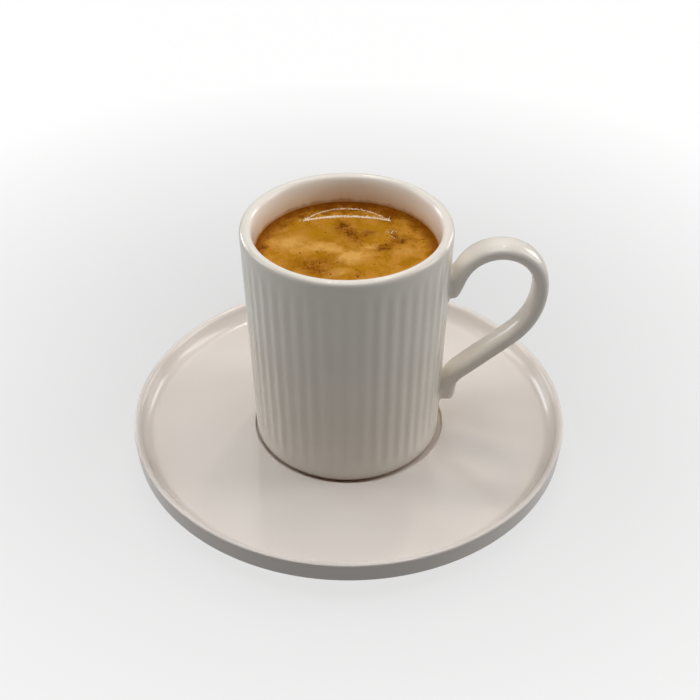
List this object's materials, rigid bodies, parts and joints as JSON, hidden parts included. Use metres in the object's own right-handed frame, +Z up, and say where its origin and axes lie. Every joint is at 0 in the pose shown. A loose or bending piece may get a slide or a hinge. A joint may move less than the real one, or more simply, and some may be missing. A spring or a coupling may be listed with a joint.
{
  "type": "espresso shot",
  "caption": "Shot of espresso with golden crema in a tall ribbed white porcelain cup with a loop handle, standing in the well of its flat rimmed saucer.",
  "frame": {"origin": "on the saucer's axis, in the plane that its foot ring stands on", "axes": "+Z up along the saucer's axis, +X to the cup's handle"},
  "size_m": [0.12, 0.12, 0.0718],
  "materials": {
    "saucer_porcelain": "gloss",
    "cup_porcelain": "gloss",
    "espresso": "satin"
  },
  "bodies": {
    "root": {"saucer": "saucer_porcelain", "cup": "cup_porcelain", "coffee": "espresso"}
  },
  "joints": []
}
